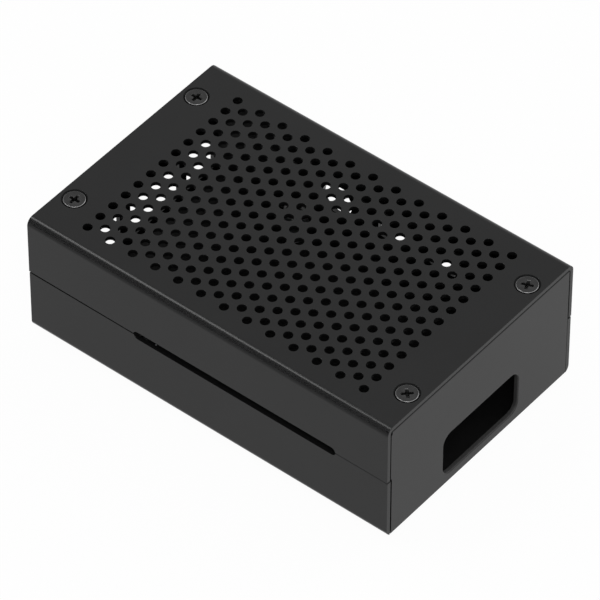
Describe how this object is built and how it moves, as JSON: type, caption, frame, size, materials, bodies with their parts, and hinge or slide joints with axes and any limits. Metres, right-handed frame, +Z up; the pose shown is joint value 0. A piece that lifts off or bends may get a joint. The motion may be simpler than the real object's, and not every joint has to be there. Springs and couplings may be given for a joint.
{
  "type": "single board computer case",
  "caption": "Black folded sheet metal case with a perforated screwed-down cover, a tray with cut openings for plugs and a memory card, and standoffs inside for a small computer board.",
  "frame": {"origin": "middle of the area the case stands on, at the underside of the feet", "axes": "+X points out of the end with the memory card opening, -Y out of the long side with the ribbon cable slot, +Z up through the perforated cover"},
  "size_m": [0.094, 0.0604, 0.033],
  "materials": {
    "powder_coat": "satin black powder coat, fine grain",
    "black_steel": "black finished steel screws",
    "zinc_plate": "bright zinc plate",
    "rubber": "matt black rubber"
  },
  "bodies": {
    "root": {"top_cover": "powder_coat", "bottom_tray": "powder_coat", "cover_screw_1": "black_steel", "cover_screw_2": "black_steel", "cover_screw_3": "black_steel", "cover_screw_4": "black_steel", "cover_nut_1": "zinc_plate", "cover_nut_2": "zinc_plate", "cover_nut_3": "zinc_plate", "cover_nut_4": "zinc_plate", "board_standoff_1": "zinc_plate", "board_standoff_2": "zinc_plate", "board_standoff_3": "zinc_plate", "board_standoff_4": "zinc_plate", "board_screw_1": "black_steel", "board_screw_2": "black_steel", "board_screw_3": "black_steel", "board_screw_4": "black_steel", "foot_1": "rubber", "foot_2": "rubber", "foot_3": "rubber", "foot_4": "rubber"}
  },
  "joints": []
}
